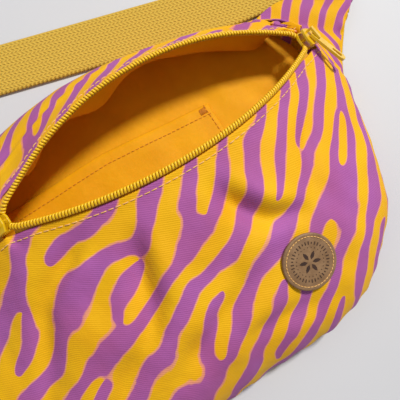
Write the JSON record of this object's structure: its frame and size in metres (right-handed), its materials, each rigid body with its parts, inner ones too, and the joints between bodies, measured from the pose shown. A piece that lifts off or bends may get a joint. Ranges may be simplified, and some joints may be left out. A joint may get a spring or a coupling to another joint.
{
  "type": "waist pack",
  "caption": "Soft zipped waist pack lying on its back with its zip open and its webbing belt closed behind it.",
  "frame": {"origin": "middle of the flat outer face of the back panel, on the surface that the pack lies on", "axes": "+Z away from the back panel, +Y towards the top edge, +X towards the right end of the zip"},
  "size_m": [0.3931, 0.2684, 0.0546],
  "materials": {
    "printed_fabric": "zebra print in warm yellow and orchid on fine twill",
    "lining": "plain woven mustard lining",
    "leather": "tan embossed patch",
    "zip_coil": "yellow nylon coil",
    "zip_tape": "yellow woven tape",
    "enamelled_metal": "yellow enamel, satin",
    "webbing": "pale yellow basket-weave webbing",
    "buckle_plastic": "black moulded acetal"
  },
  "bodies": {
    "bag": {"front_panel": "printed_fabric", "top_panel": "printed_fabric", "back_panel": "printed_fabric", "lining_front": "lining", "lining_back": "lining", "slip_pocket": "lining", "leather_patch": "leather", "zip_coil_front_closed": "zip_coil", "zip_tape_front_closed": "zip_tape", "zip_coil_back_closed": "zip_coil", "zip_tape_back_closed": "zip_tape", "webbing_right": "webbing", "webbing_left": "webbing", "buckle_female": "buckle_plastic"},
    "front_lip": {"zip_coil_front_open": "zip_coil", "zip_tape_front_open": "zip_tape"},
    "back_lip": {"zip_coil_back_open": "zip_coil", "zip_tape_back_open": "zip_tape"},
    "slider_right": {"zip_slider_right": "enamelled_metal"},
    "slider_left": {"zip_slider_left": "enamelled_metal"},
    "puller_right": {"zip_puller_right": "enamelled_metal"},
    "puller_left": {"zip_puller_left": "enamelled_metal"},
    "male_half": {"buckle_male": "buckle_plastic", "webbing_tail": "webbing"},
    "prong_left": {"buckle_prong_left": "buckle_plastic"},
    "prong_right": {"buckle_prong_right": "buckle_plastic"}
  },
  "joints": [
    {"name": "right_slider_travel", "type": "hinge", "parent": "bag", "child": "slider_right", "pos_m": [0.02086, 0.0375, -0.0754], "axis": [0, -1, 0], "range_deg": [0, 71.39], "deforming": ["zip_coil_front_open", "zip_tape_front_open", "zip_coil_back_open", "zip_tape_back_open"]},
    {"name": "front_lip_close", "type": "hinge", "parent": "bag", "child": "front_lip", "pos_m": [0.032, 0.0375, 0.0316], "axis": [-0.9946, 0, 0.1036], "range_deg": [0, 43.1]},
    {"name": "back_lip_close", "type": "hinge", "parent": "bag", "child": "back_lip", "pos_m": [0.032, 0.0375, 0.0316], "axis": [0.9946, 0, -0.1036], "range_deg": [0, 67.1]},
    {"name": "right_puller_flip", "type": "hinge", "parent": "slider_right", "child": "puller_right", "pos_m": [0.11894, 0.0375, 0.02531], "axis": [-0.691, -0.2639, 0.673], "range_deg": [0, 150]},
    {"name": "left_slider_travel", "type": "hinge", "parent": "bag", "child": "slider_left", "pos_m": [-0.12581, 0.0375, 0.15613], "axis": [0, 1, 0], "range_deg": [0, 25.5], "deforming": ["zip_coil_front_closed", "zip_coil_back_closed"]},
    {"name": "left_puller_flip", "type": "hinge", "parent": "slider_left", "child": "puller_left", "pos_m": [-0.05437, 0.0375, 0.04336], "axis": [0, 1, 0], "range_deg": [0, 160]},
    {"name": "buckle_release", "type": "slide", "parent": "bag", "child": "male_half", "axis": [-0.9625, 0.2714, 0], "range_m": [0, 0.03], "deforming": ["webbing_left", "buckle_prong_left", "buckle_prong_right"]},
    {"name": "prong_left_press", "type": "hinge", "parent": "male_half", "child": "prong_left", "pos_m": [-0.07821, 0.12158, 0.0049], "axis": [0, 0, 1], "range_deg": [0, 8], "stiffness_Nm_per_rad": 0.06},
    {"name": "prong_right_press", "type": "hinge", "parent": "male_half", "child": "prong_right", "pos_m": [-0.07261, 0.14141, 0.0049], "axis": [0, 0, 1], "range_deg": [-8.05, 0.05]}
  ],
  "couplings": [
    {"joint": "front_lip_close", "follows": "right_slider_travel", "ratio": 0.60233},
    {"joint": "back_lip_close", "follows": "right_slider_travel", "ratio": 0.93851},
    {"joint": "prong_right_press", "follows": "prong_left_press", "ratio": -1}
  ]
}
